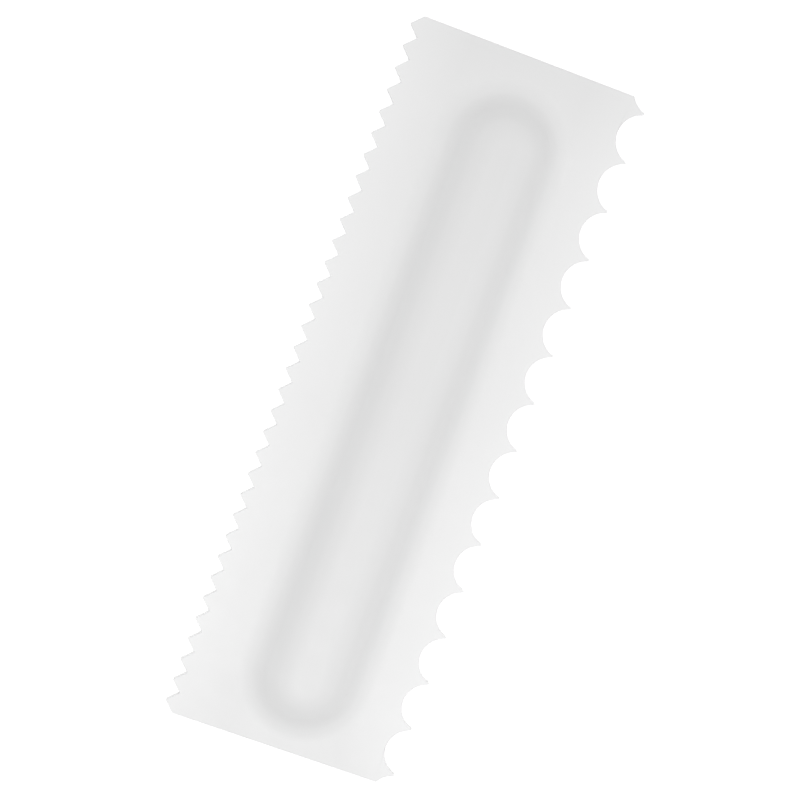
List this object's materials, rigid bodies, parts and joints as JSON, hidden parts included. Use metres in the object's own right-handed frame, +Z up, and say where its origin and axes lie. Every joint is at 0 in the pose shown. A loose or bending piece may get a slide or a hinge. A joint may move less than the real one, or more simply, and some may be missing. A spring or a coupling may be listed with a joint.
{
  "type": "icing smoother",
  "caption": "Flat plastic icing smoother: a sawtooth long edge, a scalloped long edge, two straight ends and a raised hollow grip.",
  "frame": {"origin": "centre of the bounding box of the flat back, on the surface that it lies on", "axes": "+Y along the blade, +X across it towards the scallops, +Z up out of the back towards the grip"},
  "size_m": [0.075, 0.225, 0.012],
  "materials": {
    "white_plastic": "satin, slightly translucent, moulded"
  },
  "bodies": {
    "root": {"web_plate": "white_plastic", "sawtooth_edge": "white_plastic", "scallop_edge": "white_plastic", "finger_grip": "white_plastic"}
  },
  "joints": []
}
